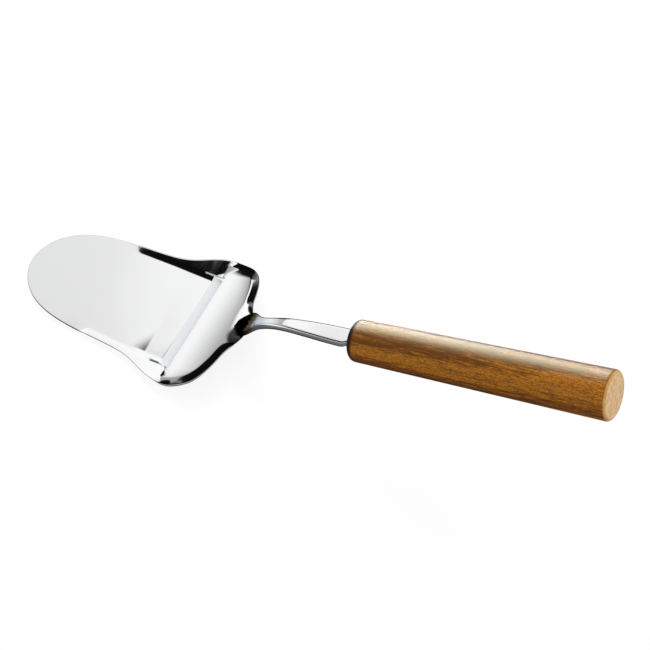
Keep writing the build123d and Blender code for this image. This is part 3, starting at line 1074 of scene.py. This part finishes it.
@dataclass
class Studio:
    """Pale floor, soft light, dark canopy with its window, and the camera. None of it is part of the object."""

    camera_place: Triple = (0.2939, -0.3936, 0.6649)
    camera_back: Triple = (0.24823, -0.51358, 0.82136)
    camera_reach: float = 20.0
    lens: float = 111.7
    floor_size: float = 6.0
    floor_tone: Tone = (0.9, 0.9, 0.9, 1)
    floor_glow: float = 0.85
    floor_bounce: float = 0.45
    sky_diffuse: float = 0.95
    canopy_radius: float = 0.4
    canopy_steps: tuple[int, int] = (48, 96)
    canopy_dark: float = 0.004
    window_level: float = 1.04
    window_top: Pair = (59.7, 64.0)
    right_side: Pair = (138.8, 99.6)
    right_turn: Pair = (31.2, 33.8)
    right_soft: float = 2.2
    left_side: Pair = (243.9, 132.1)
    left_turn: Pair = (29.3, 60.6)
    left_soft: float = 5.7
    shade_depth: float = 0.635
    shade_rise: Pair = (8.1, 38.9)
    shade_turn: Pair = (138.2, 140.4)
    plate_depth: float = 0.2
    plate_rise: Pair = (42.0, 50.0)
    plate_turn: Pair = (101.0, 131.0)
    card_level: float = 0.28
    card_right: Pair = (95.2, 107.2)
    card_left: Pair = (80.6, 100.4)
    card_top: Pair = (29.5, 44.5)
    room_level: float = 0.4
    room_start: Pair = (185.0, 215.0)
    room_end: Pair = (55.0, 75.0)
    room_top: Pair = (30.0, 48.0)
    table_level: float = 0.95
    table_far_level: float = 0.6
    table_far: Pair = (150.0, 165.0)
    table_near_level: float = 0.15
    table_near: Pair = (195.0, 220.0)
    table_top: Pair = (-20.5, -15.2)
    table_below: Pair = (-64.0, -57.0)
    lamp_place: Triple = (-0.5, 0.9, 0.75)
    lamp_aim: Triple = (0.1, 0.0, 0.02)
    lamp_side: float = 0.7
    lamp_power: float = 12.0
    softbox_level: float = 12.0
    softbox_sides: Pair = (1.0, 1.25)
    softbox_way: Pair = (130.0, 11.0)
    softbox_aim: Triple = (0.18, 0.0, 0.052)
    softbox_reach: float = 1.2

    def add_camera(self) -> None:
        """Places the camera as the photograph was taken: from the near right, looking down at 55 degrees."""
        data = bpy.data.cameras.new("camera")
        data.lens = self.lens
        data.clip_end = self.camera_reach
        camera = add_object("camera", data)
        camera.location = self.camera_place
        camera.rotation_mode = "QUATERNION"
        camera.rotation_quaternion = (-Vector(self.camera_back)).to_track_quat("-Z", "Y")
        bpy.context.scene.camera = camera

    def add_prop(self, name: str, places: list, faces: list, look: str) -> tuple[Piece, NodeBench]:
        """Adds a mesh of the studio with an empty material.

        Args:
            name: Name of the object.
            places: Its points in metres.
            faces: Its faces, as point indices.
            look: Name of its material.

        Returns:
            The object, and the bench of its material.
        """
        mesh = bpy.data.meshes.new(name)
        mesh.from_pydata(places, [], faces)
        material, bench = new_material(look)
        mesh.materials.append(material)
        return add_object(name, mesh), bench

    def add_floor(self, height: float) -> None:
        """Adds the pale floor under the object, at a height in metres."""
        reach = self.floor_size / 2
        corners = [(x * reach, y * reach, height) for x, y in ((-1, -1), (1, -1), (1, 1), (-1, 1))]
        floor, bench = self.add_prop("floor", corners, [(0, 1, 2, 3)], "floor_paper")
        floor.visible_glossy = False
        seen = bench.add("ShaderNodeLightPath").outputs["Is Camera Ray"]
        tone = bench.blend(seen, (*[self.floor_bounce] * 3, 1), self.floor_tone)
        paper = bench.add("ShaderNodeBsdfDiffuse", {"Color": tone})
        share = bench.product(seen, self.floor_glow)
        surface = bench.add("ShaderNodeMixShader", {0: share, 1: paper.outputs[0], 2: bench.emit(1.0)})
        bench.add("ShaderNodeOutputMaterial", {"Surface": surface.outputs[0]})

    def add_sky(self) -> None:
        """Sets a plain white world, which lights diffuse surfaces at a lower level than it shows."""
        world = bpy.data.worlds.new("studio_sky")
        bpy.context.scene.world = world
        world.use_nodes = True
        bench = NodeBench(world.node_tree)
        path = bench.add("ShaderNodeLightPath").outputs
        shown = bench.math("MAXIMUM", path["Is Camera Ray"], path["Is Glossy Ray"])
        shown = bench.math("MAXIMUM", shown, path["Is Transmission Ray"])
        strength = bench.ramp(shown, 0.0, 1.0, self.sky_diffuse, 1.0)
        sky = bench.add("ShaderNodeBackground", {"Color": WHITE, "Strength": strength})
        bench.add("ShaderNodeOutputWorld", {"Surface": sky.outputs[0]})

    def canopy_light(self, bench: NodeBench) -> Socket:
        """Strength of the canopy's light by compass turn and rise, both in degrees.

        The window is bright between two slanted sides and below its top, shaded towards its upper left, and a little
        lower where the flat plate mirrors it. A small card, the room behind the camera and the table are dimmer, and
        the rest is dark. The table covers the room below its edge.

        Args:
            bench: Bench of the canopy's material.

        Returns:
            The strength.
        """
        place = bench.add("ShaderNodeTexCoord").outputs["Object"]
        x, y, z = bench.parts(bench.add("ShaderNodeVectorMath", {0: place}, operation="NORMALIZE").outputs[0])
        turn = bench.math("FLOORED_MODULO", bench.product(bench.math("ARCTAN2", y, x), math.degrees(1)), 360.0)
        rise = bench.product(bench.math("ARCSINE", z), math.degrees(1))

        right = bench.math("SUBTRACT", turn, bench.ramp(rise, *self.right_turn, *self.right_side))
        left = bench.math("SUBTRACT", turn, bench.ramp(rise, *self.left_turn, *self.left_side))
        window = bench.product(bench.ramp(right, -self.right_soft, self.right_soft),
                               bench.ramp(left, -self.left_soft, self.left_soft, 1.0, 0.0),
                               bench.ramp(rise, *self.window_top, self.window_level, 0.0))
        for depth, up, round_to in ((self.shade_depth, self.shade_rise, self.shade_turn),
                                    (self.plate_depth, self.plate_rise, self.plate_turn)):
            share = bench.product(bench.ramp(rise, *up), bench.ramp(turn, *round_to, 0.0, depth))
            window = bench.product(window, bench.math("SUBTRACT", 1.0, share))

        card = bench.product(bench.ramp(turn, *self.card_right, 1.0, 0.0), bench.ramp(turn, *self.card_left),
                             bench.ramp(rise, *self.card_top, self.card_level, 0.0))
        room = bench.math("MAXIMUM", bench.ramp(turn, *self.room_start), bench.ramp(turn, *self.room_end, 1.0, 0.0))
        room = bench.product(room, bench.ramp(rise, *self.room_top, self.room_level, 0.0),
                             bench.ramp(rise, *self.table_top))
        far = bench.ramp(turn, *self.table_far, self.table_far_level, self.table_level)
        near = bench.ramp(turn, *self.table_near, self.table_level, self.table_near_level)
        table = bench.product(bench.math("MINIMUM", far, near), bench.ramp(rise, *self.table_top, 1.0, 0.0),
                              bench.ramp(rise, *self.table_below))
        level = bench.math("MAXIMUM", bench.math("MAXIMUM", window, card), bench.math("MAXIMUM", room, table))
        return bench.math("ADD", level, self.canopy_dark)

    def add_canopy(self) -> None:
        """Adds a small canopy round the object that only reflections see, with the studio's light painted on it."""
        rises, turns = self.canopy_steps
        rise = np.linspace(-math.pi / 2, math.pi / 2, rises + 1)[:, None]
        turn = np.linspace(0, 2 * math.pi, turns + 1)
        ball = [np.cos(rise) * np.cos(turn), np.cos(rise) * np.sin(turn), np.repeat(np.sin(rise), turns + 1, axis=1)]
        places = (self.canopy_radius * np.stack(ball, axis=-1)).reshape(-1, 3)
        faces = grid_faces(rises + 1, turns + 1)
        canopy, bench = self.add_prop("canopy", places.tolist(), faces.tolist(), "canopy_cloth")
        canopy.visible_camera = False
        canopy.visible_diffuse = False
        canopy.visible_shadow = False
        canopy.visible_transmission = False
        bench.add("ShaderNodeOutputMaterial", {"Surface": bench.emit(self.canopy_light(bench))})

    def add_light(self, name: str, place: Vector, back: Vector, sides: Pair, power: float) -> Piece:
        """Adds a rectangular soft light.

        Args:
            name: Name of the light.
            place: Where it hangs, in metres.
            back: Direction from what it points at to the light.
            sides: Its sides, in metres.
            power: Its power in watts.

        Returns:
            The light.
        """
        data = bpy.data.lights.new(name, "AREA")
        data.shape = "RECTANGLE"
        data.size, data.size_y = sides
        data.energy = power
        light = add_object(name, data)
        light.location = place
        light.rotation_mode = "QUATERNION"
        light.rotation_quaternion = back.to_track_quat("Z", "Y")
        return light

    def add_window_lamp(self) -> None:
        """Adds the lamp of the window, which only lights and doesn't show in reflections."""
        place = Vector(self.lamp_place)
        sides = (self.lamp_side, self.lamp_side)
        lamp = self.add_light("window_lamp", place, place - Vector(self.lamp_aim), sides, self.lamp_power)
        lamp.visible_glossy = False

    def add_softbox(self, varnished: Piece) -> None:
        """Adds the softbox whose reflection is the long highlight on the varnished piece. It lights no other."""
        turn, rise = (math.radians(angle) for angle in self.softbox_way)
        way = Vector((math.cos(rise) * math.cos(turn), math.cos(rise) * math.sin(turn), math.sin(rise)))
        power = self.softbox_level * math.pi * math.prod(self.softbox_sides)
        place = Vector(self.softbox_aim) + way * self.softbox_reach
        softbox = self.add_light("softbox", place, way, self.softbox_sides, power)
        softbox.data.cycles.use_multiple_importance_sampling = False
        softbox.visible_diffuse = False
        softbox.visible_camera = False
        lit = bpy.data.collections.new("varnished")
        lit.objects.link(varnished)
        softbox.light_linking.receiver_collection = lit
        softbox.light_linking.blocker_collection = lit

    def build(self, floor_height: float, varnished: Piece) -> None:
        """Builds the whole studio.

        Args:
            floor_height: Height of the floor in metres.
            varnished: The piece that the softbox shines on.
        """
        bpy.context.scene.view_settings.view_transform = "Standard"
        self.add_camera()
        self.add_floor(floor_height)
        self.add_sky()
        self.add_canopy()
        self.add_window_lamp()
        self.add_softbox(varnished)


def place_piece(piece: Piece, slot: Slot, finishes: list[Finish], *nodes: str) -> None:
    """Gives a piece its finishes and body, and puts it in place of solids.

    Args:
        piece: The piece.
        slot: Material slot that it takes its finish from; not used.
        finishes: Its finishes in the order of its faces' slots.
        *nodes: Solids that it stands for.
    """
    for finish in finishes:
        piece.data.materials.append(finish.make())
    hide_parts(*nodes)
    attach(piece, BODY)
    log.info("%s: %d faces, for %s", piece.name, len(piece.data.polygons), ", ".join(nodes))


def main() -> None:
    """Builds every sub-assembly in order, then the studio."""
    logging.basicConfig(level=logging.INFO, format="%(message)s")
    shank = Shank()
    handle = Handle(shank)
    wood = TurnedWood("varnished_beech", shank.handle_tilt, float(shank.handle_front @ shank.axis), handle.length)
    place_piece(Blade().build(), Slot.BLADE, [POLISHED_SHEET, GROUND_BEVEL], "blade")
    place_piece(shank.build(), Slot.SHANK, [POLISHED_BAR], "shank")
    place_piece(FootWeld(shank).build(), Slot.WELD, [HEAT_TINTED_WELD], "foot_weld")
    turned = handle.build()
    place_piece(turned, Slot.WOOD, [wood], "handle")
    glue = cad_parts["tang_glue"]
    glue.data.materials.clear()
    glue.data.materials.append(CURED_GLUE.make())
    log.info("tang_glue: keeps its solid")
    Studio().build(cad_corners[0].z, turned)


if __name__ == "__main__":
    main()
